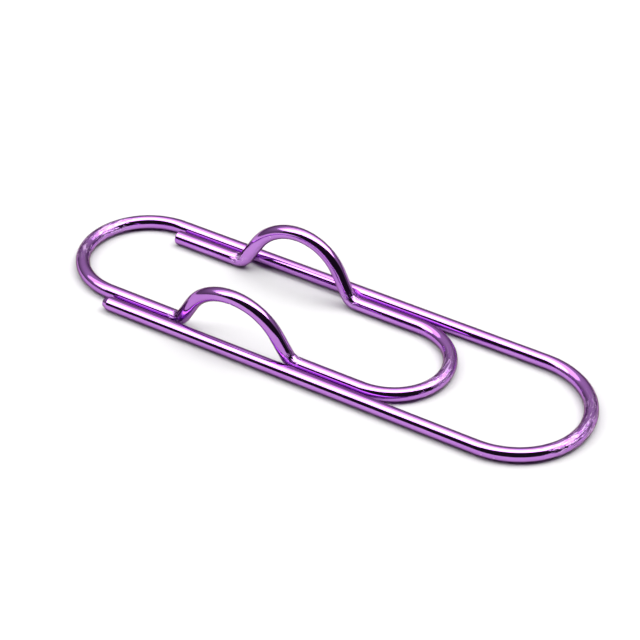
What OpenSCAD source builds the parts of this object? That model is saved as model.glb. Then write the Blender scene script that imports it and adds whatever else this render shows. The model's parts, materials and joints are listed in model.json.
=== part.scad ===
// Pen clip: one length of round spring wire, bent flat into a large paper clip.
// Each leg of the inner tongue rises into an arch, and a pen lies across the clip through both arches.
// From its front cut end the wire runs along the outer front rail, round the end bend, along the outer
// rear rail, round the heel, up the front of the tongue, round the nose and back along the rear to its tail.
// The clip lies flat on the XY plane: the heel is at -X, the end bend at +X, and the front is -Y.
// All lengths are in millimetres.

/* [Wire] */
// Diameter of the wire
wire_d = 1.5; // [1:0.1:2]
// Depth of the taper on the cut end of the outer front rail
front_end_depth = 0.25; // [0.05:0.05:0.4]
// Length of that taper along the wire
front_end_taper = 0.6; // [0.1:0.05:1]
// Chamfer on the cut end of the tail
tail_end_chamfer = 0.1; // [0.05:0.05:0.4]

/* [Outer loop] */
// Overall length, from the outer face of the heel to the outer face of the end bend
clip_length = 60; // [54:1:80]
// Overall width over the two outer rails
clip_width = 17.1; // [15:0.1:22]
// How far short of the heel bend the outer front rail is cut
front_end_gap = 0.5; // [0:0.05:20]

/* [Tongue] */
// Gap between a leg of the tongue and the outer rail beside it
leg_gap = 0.3; // [0.2:0.05:1]
// Straight length from the heel bend to the foot of the front arch
lead_leg_length = 7.95; // [4:0.05:10]
// Straight length from the foot of an arch to the nose bend
tongue_rail_length = 7.4; // [2:0.1:12]
// How far short of the heel bend the tail is cut
tail_end_gap = 0.45; // [0:0.05:3]

/* [Pen arches] */
// Bore of the arches, which takes the pen
pen_bore = 10; // [8:0.25:12]
// Inside radius of the bend at each foot of an arch
foot_bend = 0.65; // [0.15:0.05:2]
// How far the centre of an arch lies below the axis of its leg
arch_drop = 0.1; // [0:0.05:1]
// Slant of an arch's shanks from the upright, in degrees
arch_flare = 30; // [20:1:35]
// Outward lean of each arch, in degrees
arch_lean = 5; // [0:1:10]

/* [Hidden] */
$fn = 64;

plating = "mediumorchid";
wire_r = wire_d / 2;

// Sides of the clip, and ends of an arch
front = -1;
rear = 1;
heel = -1;
nose = 1;

// Side offsets of the axes of the outer rails and of the tongue's legs
rail_y = clip_width / 2 - wire_r;
leg_y = rail_y - wire_d - leg_gap;

// The heel joins the outer rear rail to the tongue's front leg, so its centre is off the middle
heel_r = (rail_y + leg_y) / 2;
heel_y = (rail_y - leg_y) / 2;
heel_x = -clip_length / 2 + wire_r + heel_r;
end_bend_x = clip_length / 2 - wire_r - rail_y;

// An arch is a round top on two straight shanks that slant inwards, each with a tight bend at its foot
arch_r = pen_bore / 2 + wire_r;
foot_r = foot_bend + wire_r;
shank_top = arch_r * sin(arch_flare) - arch_drop;
shank_base = foot_r * (1 - sin(arch_flare));
shank_length = (shank_top - shank_base) / cos(arch_flare);
foot_x = (arch_r + foot_r) * cos(arch_flare) + shank_length * sin(arch_flare);

// Where the straight stretches begin and end
heel_foot_x = heel_x + lead_leg_length;
arch_x = heel_foot_x + foot_x;
nose_foot_x = arch_x + foot_x;
nose_x = nose_foot_x + tongue_rail_length;
front_end_x = heel_x + front_end_gap;
tail_end_x = heel_x + tail_end_gap;

// Straight stretch from the origin along +X.
// Where the wire is cut at the far end, it narrows there by the given depth over the given taper.
module straight(length, depth = 0, taper = 0) {
  rotate([0, 90, 0])
    rotate_extrude()
      polygon([
        [0, 0], [wire_r, 0], [wire_r, length - taper], [wire_r - depth, length], [0, length]
      ]);
}

// Arc of wire about the origin in the XY plane, anticlockwise from the +X side
module bend(radius, angle) {
  rotate_extrude(angle = angle)
    translate([radius, 0])
      circle(r = wire_r);
}

// Quarter turn that lies flat and starts in the given direction from its centre.
// Two of them meet at the top of each half turn, where the wire twists about its own axis as the clip flexes.
module quarter_bend(x, y, radius, start) {
  translate([x, y, wire_r])
    rotate(start)
      bend(radius, 90);
}

// Stands its children up over a leg of the tongue and leans them outwards about the leg's axis.
// X stays along the leg and Y becomes up.
module over_leg(x, side) {
  translate([x, side * leg_y, wire_r])
    rotate([90 - side * arch_lean, 0, 0])
      children();
}

// Stands its children up where a leg begins to rise at one end of its arch, with X towards the arch
module at_foot(side, end) {
  over_leg(arch_x + end * foot_x, side)
    rotate([0, 90 + end * 90, 0])
      children();
}

// Straight leg of the tongue, from the foot of an arch to the heel or the nose
module leg(side, end, length, chamfer = 0) {
  at_foot(side, end)
    rotate(180)
      straight(length, chamfer, chamfer);
}

// Bend that turns a leg up into a shank
module foot(side, end) {
  at_foot(side, end)
    translate([0, foot_r])
      rotate(-90)
        bend(foot_r, 90 - arch_flare);
}

// Straight shank from a foot up to the round top of the arch
module shank(side, end) {
  at_foot(side, end)
    translate([0, foot_r])
      rotate(-arch_flare)
        translate([foot_r, 0])
          rotate(90)
            straight(shank_length);
}

// Round top of the arch over one leg of the tongue
module pen_arch(side) {
  over_leg(arch_x, side)
    translate([0, -arch_drop])
      rotate(arch_flare)
        bend(arch_r, 180 - 2 * arch_flare);
}

module outer_front_rail() {
  color(plating)
    translate([end_bend_x, -rail_y, wire_r])
      rotate(180)
        straight(end_bend_x - front_end_x, front_end_depth, front_end_taper);
}

module end_bend_front() {
  color(plating) quarter_bend(end_bend_x, 0, rail_y, -90);
}

module end_bend_rear() {
  color(plating) quarter_bend(end_bend_x, 0, rail_y, 0);
}

module outer_rear_rail() {
  color(plating)
    translate([heel_x, rail_y, wire_r])
      straight(end_bend_x - heel_x);
}

module heel_bend_rear() {
  color(plating) quarter_bend(heel_x, heel_y, heel_r, 90);
}

module heel_bend_front() {
  color(plating) quarter_bend(heel_x, heel_y, heel_r, 180);
}

module tongue_lead_leg() {
  color(plating) leg(front, heel, lead_leg_length);
}

module front_arch_heel_foot() {
  color(plating) foot(front, heel);
}

module front_arch_heel_shank() {
  color(plating) shank(front, heel);
}

module front_pen_arch() {
  color(plating) pen_arch(front);
}

module front_arch_nose_shank() {
  color(plating) shank(front, nose);
}

module front_arch_nose_foot() {
  color(plating) foot(front, nose);
}

module tongue_front_rail() {
  color(plating) leg(front, nose, tongue_rail_length);
}

module nose_bend_front() {
  color(plating) quarter_bend(nose_x, 0, leg_y, -90);
}

module nose_bend_rear() {
  color(plating) quarter_bend(nose_x, 0, leg_y, 0);
}

module tongue_rear_rail() {
  color(plating) leg(rear, nose, tongue_rail_length);
}

module rear_arch_nose_foot() {
  color(plating) foot(rear, nose);
}

module rear_arch_nose_shank() {
  color(plating) shank(rear, nose);
}

module rear_pen_arch() {
  color(plating) pen_arch(rear);
}

module rear_arch_heel_shank() {
  color(plating) shank(rear, heel);
}

module rear_arch_heel_foot() {
  color(plating) foot(rear, heel);
}

module tail_leg() {
  color(plating) leg(rear, heel, heel_foot_x - tail_end_x, tail_end_chamfer);
}

outer_front_rail();
end_bend_front();
end_bend_rear();
outer_rear_rail();
heel_bend_rear();
heel_bend_front();
tongue_lead_leg();
front_arch_heel_foot();
front_arch_heel_shank();
front_pen_arch();
front_arch_nose_shank();
front_arch_nose_foot();
tongue_front_rail();
nose_bend_front();
nose_bend_rear();
tongue_rear_rail();
rear_arch_nose_foot();
rear_arch_nose_shank();
rear_pen_arch();
rear_arch_heel_shank();
rear_arch_heel_foot();
tail_leg();
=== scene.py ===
"""Looks of the pen clip: one bent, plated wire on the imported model's frame. Lengths are in metres."""
import json
import math
from typing import NamedTuple

import bpy
from mathutils import Matrix, Quaternion, Vector


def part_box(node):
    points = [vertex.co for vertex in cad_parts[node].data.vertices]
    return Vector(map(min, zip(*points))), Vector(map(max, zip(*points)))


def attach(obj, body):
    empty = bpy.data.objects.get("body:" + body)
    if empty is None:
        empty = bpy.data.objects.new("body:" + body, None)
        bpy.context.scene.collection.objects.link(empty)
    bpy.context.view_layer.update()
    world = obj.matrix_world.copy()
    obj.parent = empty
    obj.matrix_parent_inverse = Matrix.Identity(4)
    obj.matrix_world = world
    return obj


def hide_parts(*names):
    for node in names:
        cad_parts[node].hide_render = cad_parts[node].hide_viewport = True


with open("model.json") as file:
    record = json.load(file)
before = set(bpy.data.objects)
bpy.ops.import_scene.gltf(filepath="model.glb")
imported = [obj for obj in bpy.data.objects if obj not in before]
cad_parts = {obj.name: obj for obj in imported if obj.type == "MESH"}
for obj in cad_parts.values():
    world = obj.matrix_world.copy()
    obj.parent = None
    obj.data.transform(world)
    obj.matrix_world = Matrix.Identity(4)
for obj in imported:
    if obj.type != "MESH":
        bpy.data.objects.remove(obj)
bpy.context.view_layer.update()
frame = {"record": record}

MM = 0.001


class Straight(NamedTuple):
    """A straight stretch of wire."""

    length: float


class Bend(NamedTuple):
    """An arc of wire about an axis that is square to it."""

    radius: float
    angle: float
    axis: Vector


class Station(NamedTuple):
    """A place along the wire: its centre, direction, upper side and the length of wire before it."""

    place: Vector
    heading: Vector
    top: Vector
    run: float


class Ring(NamedTuple):
    """A round of the mesh. The tilt is how far its normals lean along the wire."""

    station: Station
    radius: float
    tilt: float


class CutEnd(NamedTuple):
    """A cut end, which narrows by its depth over its taper."""

    depth: float
    taper: float


class WorkedZone(NamedTuple):
    """A stretch that bending has marked, by the lengths of wire before its two ends."""

    begin: float
    end: float


class Grain(NamedTuple):
    """Noise on the wire. A squeeze below 1 draws it out upwards, sideways or along the wire."""

    squeeze: tuple
    scale: float
    detail: float


class Panel(NamedTuple):
    """A level panel of light overhead. Its spans along and across are shares of its height."""

    along: tuple
    across: tuple
    radiance: float


# Sizes of the wire's bends and cut ends that the nodes' boxes don't give
PEN_BORE = 10 * MM
FOOT_BEND = 0.65 * MM
ARCH_DROP = 0.1 * MM
ARCH_FLARE = math.radians(30)
ARCH_LEAN = math.radians(5)
FRONT_END = CutEnd(depth=0.25 * MM, taper=0.6 * MM)
TAIL_END = CutEnd(depth=0.1 * MM, taper=0.1 * MM)
EDGE_ROUNDING = 0.03 * MM

# Room between the two faces that turn on each other at a hinge
HINGE_ROOM = 0.005 * MM

# How far the marks of bending reach beyond the foot of an arch
FOOT_MARKS_REACH = 2 * MM

# Fineness of the wire's mesh
SIDES = 48
STRAIGHT_STEP = 0.6 * MM
BEND_STEP = math.radians(2.5)


def wire_strokes():
    """The wire's start and radius, and the stroke that draws each node, from the front cut end on."""
    front_low, front_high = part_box("outer_front_rail")
    nose_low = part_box("nose_bend_front")[0]
    wire_r = (front_high.z - front_low.z) / 2
    rail_y = -(front_low.y + front_high.y) / 2
    leg_y = -nose_low.y - wire_r

    quarter = math.pi / 2
    flat = Vector((0, 0, 1))
    end_quarter = Bend(rail_y, quarter, flat)
    heel_quarter = Bend((rail_y + leg_y) / 2, quarter, flat)
    nose_quarter = Bend(leg_y, quarter, flat)

    arch_r = PEN_BORE / 2 + wire_r
    foot_r = FOOT_BEND + wire_r
    shank_top = arch_r * math.sin(ARCH_FLARE) - ARCH_DROP
    shank_base = foot_r * (1 - math.sin(ARCH_FLARE))
    shank = Straight((shank_top - shank_base) / math.cos(ARCH_FLARE))
    front_rise = Vector((0, -math.cos(ARCH_LEAN), -math.sin(ARCH_LEAN)))
    rear_rise = Vector((0, math.cos(ARCH_LEAN), -math.sin(ARCH_LEAN)))

    def straight(node):
        low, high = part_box(node)
        return Straight(high.x - low.x)

    def foot(rise):
        return Bend(foot_r, quarter - ARCH_FLARE, rise)

    def arch(rise):
        return Bend(arch_r, 2 * (quarter - ARCH_FLARE), -rise)

    start = Station(Vector((front_low.x, -rail_y, wire_r)), Vector((1, 0, 0)), flat, 0)
    strokes = {
        "outer_front_rail": straight("outer_front_rail"),
        "end_bend_front": end_quarter,
        "end_bend_rear": end_quarter,
        "outer_rear_rail": straight("outer_rear_rail"),
        "heel_bend_rear": heel_quarter,
        "heel_bend_front": heel_quarter,
        "tongue_lead_leg": straight("tongue_lead_leg"),
        "front_arch_heel_foot": foot(front_rise),
        "front_arch_heel_shank": shank,
        "front_pen_arch": arch(front_rise),
        "front_arch_nose_shank": shank,
        "front_arch_nose_foot": foot(front_rise),
        "tongue_front_rail": straight("tongue_front_rail"),
        "nose_bend_front": nose_quarter,
        "nose_bend_rear": nose_quarter,
        "tongue_rear_rail": straight("tongue_rear_rail"),
        "rear_arch_nose_foot": foot(rear_rise),
        "rear_arch_nose_shank": shank,
        "rear_pen_arch": arch(rear_rise),
        "rear_arch_heel_shank": shank,
        "rear_arch_heel_foot": foot(rear_rise),
        "tail_leg": straight("tail_leg"),
    }
    return start, wire_r, strokes


def stroke_length(stroke):
    return stroke.length if isinstance(stroke, Straight) else stroke.radius * stroke.angle


def station_on(start, stroke, share):
    """The station at a share of the way along a stroke that begins at the given station."""
    run = start.run + stroke_length(stroke) * share
    if isinstance(stroke, Straight):
        return start._replace(place=start.place + start.heading * stroke.length * share, run=run)
    centre = start.place + stroke.axis.cross(start.heading) * stroke.radius
    turn = Quaternion(stroke.axis, stroke.angle * share)
    return Station(
        centre + turn @ (start.place - centre), turn @ start.heading, turn @ start.top, run
    )


def stations_along(start, stroke, first_share, last_share):
    """Evenly spaced stations along a stroke, from the first share of its length to the last."""
    if isinstance(stroke, Straight):
        steps = math.ceil(stroke.length / STRAIGHT_STEP)
    else:
        steps = math.ceil(stroke.angle / BEND_STEP)
    step_share = (last_share - first_share) / steps
    return [station_on(start, stroke, first_share + step * step_share) for step in range(steps + 1)]


def worked_zones(strokes):
    """Where bending has marked the wire: at each half turn and about each foot of an arch.

    Only the two quarters of a half turn are bends in a row.
    """
    zones = []
    run = 0
    before = None
    for node, stroke in strokes.items():
        end = run + stroke_length(stroke)
        if node.endswith("_foot"):
            zones.append(WorkedZone(run - FOOT_MARKS_REACH, end + FOOT_MARKS_REACH))
        elif isinstance(stroke, Bend) and isinstance(before, Bend):
            zones.append(WorkedZone(run - stroke_length(before), end))
        run = end
        before = stroke
    return zones


def worked_amount(run, zones):
    """How far into a worked zone a place is: 1 at the zone's middle, 0 at its ends and outside it."""
    for zone in zones:
        inside = min(run - zone.begin, zone.end - run)
        if inside > 0:
            return 2 * inside / (zone.end - zone.begin)
    return 0.0


def cut_rings(tip, inward, wire_r, cut):
    """Rings of a cut end from its tip inwards: a taper whose two edges are slightly rounded."""
    slope = math.atan2(cut.depth, cut.taper)
    back = EDGE_ROUNDING * math.cos(slope)
    down = EDGE_ROUNDING * math.sin(slope)
    profile = [
        (0, cut.depth + EDGE_ROUNDING, math.radians(90)),
        (back, cut.depth - down, slope),
        (cut.taper - back, down, slope),
        (cut.taper + EDGE_ROUNDING, 0, 0),
    ]
    rings = []
    for distance, inset, lean in profile:
        station = tip._replace(
            place=tip.place + tip.heading * distance * inward, run=tip.run + distance * inward
        )
        rings.append(Ring(station, wire_r - inset, -lean * inward))
    return rings


def wire_rings(stations, wire_r, front_cut, tail_cut):
    """Rings of one node, with a cut end where one is given."""
    first, last = stations[0], stations[-1]
    rings = [Ring(station, wire_r, 0) for station in stations]
    if front_cut:
        clear = first.run + front_cut.taper + EDGE_ROUNDING
        tip = cut_rings(first, 1, wire_r, front_cut)
        rings = tip + [r for r in rings if r.station.run > clear]
    if tail_cut:
        clear = last.run - tail_cut.taper - EDGE_ROUNDING
        tip = cut_rings(last, -1, wire_r, tail_cut)
        rings = [r for r in rings if r.station.run < clear] + tip[::-1]
    return rings


def tube_faces(ring_count):
    """Faces of a closed tube through its rings: its sides, then its first and last caps."""
    faces = []
    for row in range(ring_count - 1):
        near, far = row * SIDES, (row + 1) * SIDES
        for step in range(SIDES):
            after = (step + 1) % SIDES
            faces.append([near + step, near + after, far + after, far + step])
    last_row = (ring_count - 1) * SIDES
    faces.append(list(range(SIDES))[::-1])
    faces.append(list(range(last_row, last_row + SIDES)))
    return faces


def add_wire_piece(name, rings, zones, materials, cut_ends):
    """A closed tube through the rings, whose normals are the true wire's, so that no joint shows.

    The cut ends say whether its first and last caps are cut faces.
    """
    points, radials, places, worked = [], [], [], []
    for ring in rings:
        station = ring.station
        side = station.heading.cross(station.top)
        amount = worked_amount(station.run, zones)
        for step in range(SIDES):
            angle = 2 * math.pi * step / SIDES
            radial = station.top * math.cos(angle) + side * math.sin(angle)
            points.append(station.place + radial * ring.radius)
            radials.append(radial * math.cos(ring.tilt) + station.heading * math.sin(ring.tilt))
            places.append((ring.radius * math.cos(angle), ring.radius * math.sin(angle), station.run))
            worked.append(amount)

    faces = tube_faces(len(rings))
    normals = [radials[corner] for face in faces[:-2] for corner in face]
    normals += [-rings[0].station.heading] * SIDES
    normals += [rings[-1].station.heading] * SIDES

    mesh = bpy.data.meshes.new(name)
    mesh.from_pydata(points, [], faces)
    for material in materials:
        mesh.materials.append(material)
    start_cap, end_cap = mesh.polygons[-2], mesh.polygons[-1]
    start_cap.material_index = int(cut_ends[0])
    end_cap.material_index = int(cut_ends[1])
    place_layer = mesh.attributes.new("wire_place", "FLOAT_VECTOR", "POINT")
    place_layer.data.foreach_set("vector", [value for place in places for value in place])
    worked_layer = mesh.attributes.new("worked", "FLOAT", "POINT")
    worked_layer.data.foreach_set("value", worked)
    mesh.shade_smooth()
    mesh.normals_split_custom_set(normals)
    piece = bpy.data.objects.new(name, mesh)
    bpy.context.scene.collection.objects.link(piece)
    return piece


def add_wire(materials):
    """The whole wire, one piece for each node, each riding on the body that its node belongs to."""
    begin, wire_r, strokes = wire_strokes()
    bodies = frame["record"]["behaviour"]["bodies"]
    body_of = {node: body for body, nodes in bodies.items() for node in nodes}

    zones = worked_zones(strokes)
    names = list(strokes)
    for before, node, after in zip([None] + names, names, names[1:] + [None]):
        stroke = strokes[node]
        body = body_of[node]
        room = HINGE_ROOM / 2 / stroke_length(stroke)
        first_share = room if before and body_of[before] != body else 0
        last_share = 1 - room if after and body_of[after] != body else 1
        stations = stations_along(begin, stroke, first_share, last_share)
        front_cut = None if before else FRONT_END
        tail_cut = None if after else TAIL_END
        rings = wire_rings(stations, wire_r, front_cut, tail_cut)
        piece = add_wire_piece(node + "_wire", rings, zones, materials, (not before, not after))
        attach(piece, body)
        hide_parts(node)
        begin = station_on(begin, stroke, 1)


# Sockets of a Mix node for colours, which share their names with its other sockets
MIX_SHARE = 0
MIX_FIRST = 6
MIX_SECOND = 7
MIX_RESULT = 2


def add_node(tree, kind, inputs=None, **settings):
    """A shader node with its settings, and its inputs set to values or linked to the outputs given."""
    made = tree.nodes.new("ShaderNode" + kind)
    for key, value in settings.items():
        setattr(made, key, value)
    for key, value in (inputs or {}).items():
        if isinstance(value, bpy.types.NodeSocket):
            tree.links.new(value, made.inputs[key])
        else:
            made.inputs[key].default_value = value
    return made


def new_material(name):
    """A material with an empty node tree but its output."""
    material = bpy.data.materials.new(name)
    material.use_nodes = True
    tree = material.node_tree
    tree.nodes.clear()
    return material, tree, tree.nodes.new("ShaderNodeOutputMaterial")


def blend_colours(tree, share, first, second):
    inputs = {MIX_SHARE: share, MIX_FIRST: first, MIX_SECOND: second}
    return add_node(tree, "Mix", inputs, data_type="RGBA").outputs[MIX_RESULT]


def rescale(tree, value, span, new_span=(0.0, 1.0)):
    """A value carried smoothly from one span to another and held at its ends."""
    inputs = {
        "Value": value,
        "From Min": span[0],
        "From Max": span[1],
        "To Min": new_span[0],
        "To Max": new_span[1],
    }
    return add_node(tree, "MapRange", inputs, interpolation_type="SMOOTHSTEP").outputs["Result"]


def calculate(tree, operation, first, second):
    return add_node(tree, "Math", {0: first, 1: second}, operation=operation).outputs["Value"]


def wire_place(tree):
    """Place on the wire: up and sideways from its axis, and along it."""
    return add_node(tree, "Attribute", attribute_name="wire_place").outputs["Vector"]


def noise(tree, place, grain):
    """Noise of the given grain, from 0 to 1."""
    squeezed = add_node(tree, "VectorMath", {0: place, 1: grain.squeeze}, operation="MULTIPLY")
    inputs = {"Vector": squeezed.outputs["Vector"], "Scale": grain.scale, "Detail": grain.detail}
    return add_node(tree, "TexNoise", inputs).outputs["Fac"]


def relief(tree, height, depth, under=None):
    """Normals of a surface that is raised by a share of the depth, on top of another relief if given."""
    inputs = {"Strength": 1.0, "Distance": depth, "Height": height}
    if under is not None:
        inputs["Normal"] = under
    return add_node(tree, "Bump", inputs).outputs["Normal"]


def metal_surface(tree, output, inputs):
    """Gives a material's output a metal surface."""
    shader = add_node(tree, "BsdfPrincipled", {"Metallic": 1.0, **inputs})
    tree.links.new(shader.outputs["BSDF"], output.inputs["Surface"])


# Plating: its colours, its tint at a glancing angle, its roughness from the drawn lines and from wear,
# and the depths of its marks
PURPLE = (0.50, 0.22, 0.65, 1)
DEEP_PURPLE = (0.46, 0.185, 0.61, 1)
WORN_PURPLE = (0.66, 0.42, 0.76, 1)
GLANCING_TINT = (0.35, 0.40, 0.20, 1)
POLISH = (0.05, 0.09)
WEAR_ROUGHNESS = (0.0, 0.33)
LINE_DEPTH = 0.002 * MM
DENT_DEPTH = 0.03 * MM

# Lines that drawing the wire left, and slow changes of colour
DRAWN_LINES = Grain(squeeze=(1.0, 1.0, 1 / 50), scale=7000.0, detail=3.0)
LINE_SPAN = (0.3, 0.7)
TINTS = Grain(squeeze=(1.0, 1.0, 1.0), scale=160.0, detail=2.0)
TINT_SPAN = (0.35, 0.65)

# Scuffs: streaks in patches, where bending has marked the wire
STREAKS = Grain(squeeze=(1.0, 1.0, 1 / 6), scale=5200.0, detail=3.0)
STREAK_SPAN = (0.44, 0.64)
PATCHES = Grain(squeeze=(1.0, 1.0, 1 / 2), scale=500.0, detail=2.0)
PATCH_SPAN = (0.34, 0.56)
PATCH_STRENGTH = (0.55, 1.0)
BENT_SPAN = (0.45, 0.80)

# Nicks: a spot in the middle of some cells of a random pattern
NICK_CELLS = 800.0
NICK_CHANCE = (0.72, 0.76)
NICK_EDGE = (0.05, 0.10)


def bending_scuffs(tree, place):
    worked = add_node(tree, "Attribute", attribute_name="worked").outputs["Fac"]
    bent = rescale(tree, worked, BENT_SPAN)
    patches = rescale(tree, noise(tree, place, PATCHES), PATCH_SPAN, PATCH_STRENGTH)
    streaks = rescale(tree, noise(tree, place, STREAKS), STREAK_SPAN)
    return calculate(tree, "MULTIPLY", streaks, calculate(tree, "MULTIPLY", patches, bent))


def pale_nicks(tree, place):
    cells = add_node(tree, "TexVoronoi", {"Vector": place, "Scale": NICK_CELLS, "Randomness": 1.0})
    chance = add_node(tree, "SeparateColor", {"Color": cells.outputs["Color"]}).outputs["Red"]
    rare = rescale(tree, chance, NICK_CHANCE)
    spot = rescale(tree, cells.outputs["Distance"], NICK_EDGE, (1.0, 0.0))
    return calculate(tree, "MULTIPLY", rare, spot)


def plated_wire():
    """Bright purple plating on drawn wire, with scuffs where it was bent and small pale nicks."""
    material, tree, output = new_material("plated_wire")
    place = wire_place(tree)
    drawn = noise(tree, place, DRAWN_LINES)
    tint = rescale(tree, noise(tree, place, TINTS), TINT_SPAN)
    scuffs = bending_scuffs(tree, place)
    worn = calculate(tree, "MAXIMUM", pale_nicks(tree, place), scuffs)

    purple = blend_colours(tree, tint, PURPLE, DEEP_PURPLE)
    polished = rescale(tree, drawn, LINE_SPAN, POLISH)
    roughened = rescale(tree, worn, (0.0, 1.0), WEAR_ROUGHNESS)
    lines = relief(tree, drawn, LINE_DEPTH)
    metal_surface(tree, output, {
        "Base Color": blend_colours(tree, worn, purple, WORN_PURPLE),
        "Roughness": calculate(tree, "ADD", polished, roughened),
        "Specular Tint": GLANCING_TINT,
        "Normal": relief(tree, scuffs, DENT_DEPTH, lines),
    })
    return material


# Cut faces: their colours, their roughness, and the lines that the cutter left
CUT_DARK = (0.40, 0.22, 0.48, 1)
CUT_PALE = (0.56, 0.42, 0.62, 1)
CUT_ROUGHNESS = (0.28, 0.45)
CUT_LINES = Grain(squeeze=(0.08, 1.0, 1.0), scale=16000.0, detail=4.0)
CUT_LINE_SPAN = (0.3, 0.7)
CUT_LINE_DEPTH = 0.004 * MM


def cut_face():
    """Sheared end of the wire, paler and duller than the plating."""
    material, tree, output = new_material("cut_face")
    sheared = noise(tree, wire_place(tree), CUT_LINES)
    metal_surface(tree, output, {
        "Base Color": blend_colours(tree, rescale(tree, sheared, CUT_LINE_SPAN), CUT_DARK, CUT_PALE),
        "Roughness": rescale(tree, sheared, CUT_LINE_SPAN, CUT_ROUGHNESS),
        "Normal": relief(tree, sheared, CUT_LINE_DEPTH),
    })
    return material


# Floor: white paper, with shadows near the object
FLOOR_R = 3.0
FLOOR_SEGMENTS = 96
FLOOR_ALBEDO = 0.52
SHADOW_ZONE = (70 * MM, 200 * MM)
BLACK = (0, 0, 0, 1)


def white_floor():
    """White paper that keeps the shadows near the object and is plain white further out."""
    material, tree, output = new_material("white_floor")
    place = add_node(tree, "NewGeometry").outputs["Position"]
    distance = add_node(tree, "VectorMath", {0: place}, operation="LENGTH").outputs["Value"]
    far = rescale(tree, distance, SHADOW_ZONE)
    path = add_node(tree, "LightPath")
    seen = calculate(tree, "MAXIMUM", path.outputs["Is Camera Ray"], path.outputs["Is Glossy Ray"])
    seen = calculate(tree, "MAXIMUM", seen, path.outputs["Is Transmission Ray"])
    near_white = (FLOOR_ALBEDO, FLOOR_ALBEDO, FLOOR_ALBEDO, 1)
    paper = add_node(tree, "BsdfDiffuse", {"Color": blend_colours(tree, far, near_white, BLACK)})
    glow = add_node(tree, "Emission", {"Strength": calculate(tree, "MULTIPLY", far, seen)})
    both = add_node(tree, "AddShader", {0: paper.outputs["BSDF"], 1: glow.outputs["Emission"]})
    tree.links.new(both.outputs["Shader"], output.inputs["Surface"])
    return material


def add_floor():
    """A level disc that backs every view from above."""
    points = []
    for segment in range(FLOOR_SEGMENTS):
        angle = 2 * math.pi * segment / FLOOR_SEGMENTS
        points.append((FLOOR_R * math.cos(angle), FLOOR_R * math.sin(angle), 0))
    mesh = bpy.data.meshes.new("floor")
    mesh.from_pydata(points, [], [list(range(FLOOR_SEGMENTS))])
    mesh.materials.append(white_floor())
    floor = bpy.data.objects.new("floor", mesh)
    bpy.context.scene.collection.objects.link(floor)


# Light: a long softbox overhead, nearly square to the camera's view, with a brighter core and a dim edge
# at its back
SOFTBOX_HEIGHT = 1.2
SOFTBOX_TURN = math.radians(38)
SOFTBOXES = {
    "softbox": Panel(along=(-1.7, 1.15), across=(-0.36, 0.34), radiance=4.4),
    "softbox_core": Panel(along=(0.2, 0.65), across=(-0.14, 0.3), radiance=5.0),
    "softbox_edge": Panel(along=(-1.5, 1.4), across=(0.34, 0.80), radiance=1.5),
}

# Room: dim at the horizon and paler overhead, and open and dark on the camera's side.
# The spans are of the upward part of a direction, and of its part towards the opening.
HORIZON_LIGHT = 0.2
OVERHEAD_LIGHT = 0.6
OVERHEAD_SPAN = (0.1, 0.75)
OPENING_LIGHT = 0.015
OPENING_WAY = Vector((0.57, -0.82, 0.0))
OPENING_SPAN = (0.18, 0.36)


def add_softbox(name, panel):
    """A lamp of the panel's size, with the power that gives its radiance."""
    light = bpy.data.lights.new(name, "AREA")
    light.shape = "RECTANGLE"
    light.size = (panel.along[1] - panel.along[0]) * SOFTBOX_HEIGHT
    light.size_y = (panel.across[1] - panel.across[0]) * SOFTBOX_HEIGHT
    light.energy = math.pi * panel.radiance * light.size * light.size_y
    lamp = bpy.data.objects.new(name, light)
    middle = Vector((sum(panel.along) / 2, sum(panel.across) / 2, 1)) * SOFTBOX_HEIGHT
    lamp.matrix_world = Matrix.Rotation(SOFTBOX_TURN, 4, "Z") @ Matrix.Translation(middle)
    bpy.context.scene.collection.objects.link(lamp)


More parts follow.
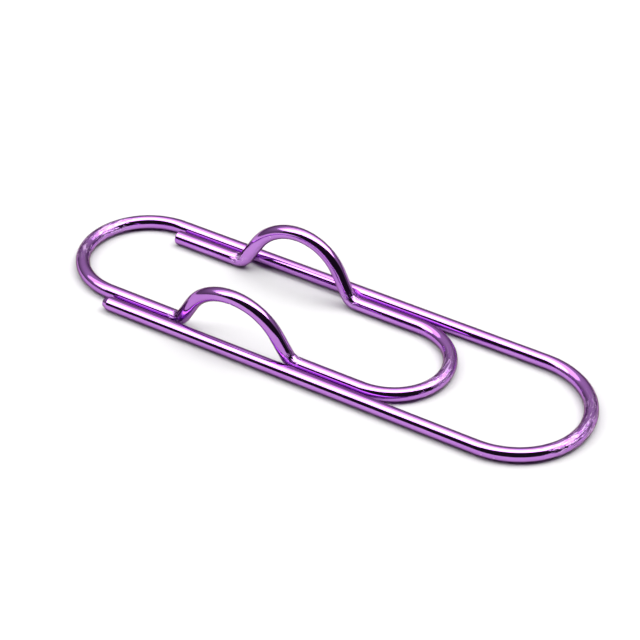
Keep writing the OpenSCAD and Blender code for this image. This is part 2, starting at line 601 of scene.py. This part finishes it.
def add_room():
    """World light, by the direction that it comes from."""
    world = bpy.data.worlds.new("room")
    world.use_nodes = True
    tree = world.node_tree
    tree.nodes.clear()
    way = add_node(tree, "TexCoord").outputs["Generated"]
    upward = add_node(tree, "SeparateXYZ", {"Vector": way}).outputs["Z"]
    ahead = add_node(tree, "VectorMath", {0: way, 1: OPENING_WAY}, operation="DOT_PRODUCT")
    room = rescale(tree, upward, OVERHEAD_SPAN, (HORIZON_LIGHT, OVERHEAD_LIGHT))
    level = rescale(tree, ahead.outputs["Value"], OPENING_SPAN, (room, OPENING_LIGHT))
    light = add_node(tree, "Background", {"Color": (1, 1, 1, 1), "Strength": level})
    output = tree.nodes.new("ShaderNodeOutputWorld")
    tree.links.new(light.outputs["Background"], output.inputs["Surface"])
    bpy.context.scene.world = world


# Camera: where the photograph was taken from, found by fitting the wire's path to its edges there
CAMERA_AZIMUTH = math.radians(29.5)
CAMERA_ELEVATION = math.radians(37.23)
CAMERA_ROLL = math.radians(1.79)
CAMERA_DISTANCE = 227.5 * MM
CAMERA_ASIDE = -0.44 * MM
CAMERA_RAISE = 1.81 * MM
CAMERA_LENS = 124.9
CAMERA_NEAREST = 10 * MM


def add_camera():
    back = Vector((
        math.sin(CAMERA_AZIMUTH) * math.cos(CAMERA_ELEVATION),
        -math.cos(CAMERA_AZIMUTH) * math.cos(CAMERA_ELEVATION),
        math.sin(CAMERA_ELEVATION),
    ))
    level = Vector((math.cos(CAMERA_AZIMUTH), math.sin(CAMERA_AZIMUTH), 0))
    turn = Quaternion(back, CAMERA_ROLL)
    right = turn @ level
    up = turn @ back.cross(level)
    data = bpy.data.cameras.new("camera")
    data.lens = CAMERA_LENS
    data.clip_start = CAMERA_NEAREST
    camera = bpy.data.objects.new("camera", data)
    place = back * CAMERA_DISTANCE + right * CAMERA_ASIDE + up * CAMERA_RAISE
    camera.matrix_world = Matrix.Translation(place) @ Matrix((right, up, back)).transposed().to_4x4()
    bpy.context.scene.collection.objects.link(camera)
    bpy.context.scene.camera = camera


add_camera()
add_wire([plated_wire(), cut_face()])
add_floor()
for name, panel in SOFTBOXES.items():
    add_softbox(name, panel)
add_room()
bpy.context.scene.view_settings.view_transform = "Standard"
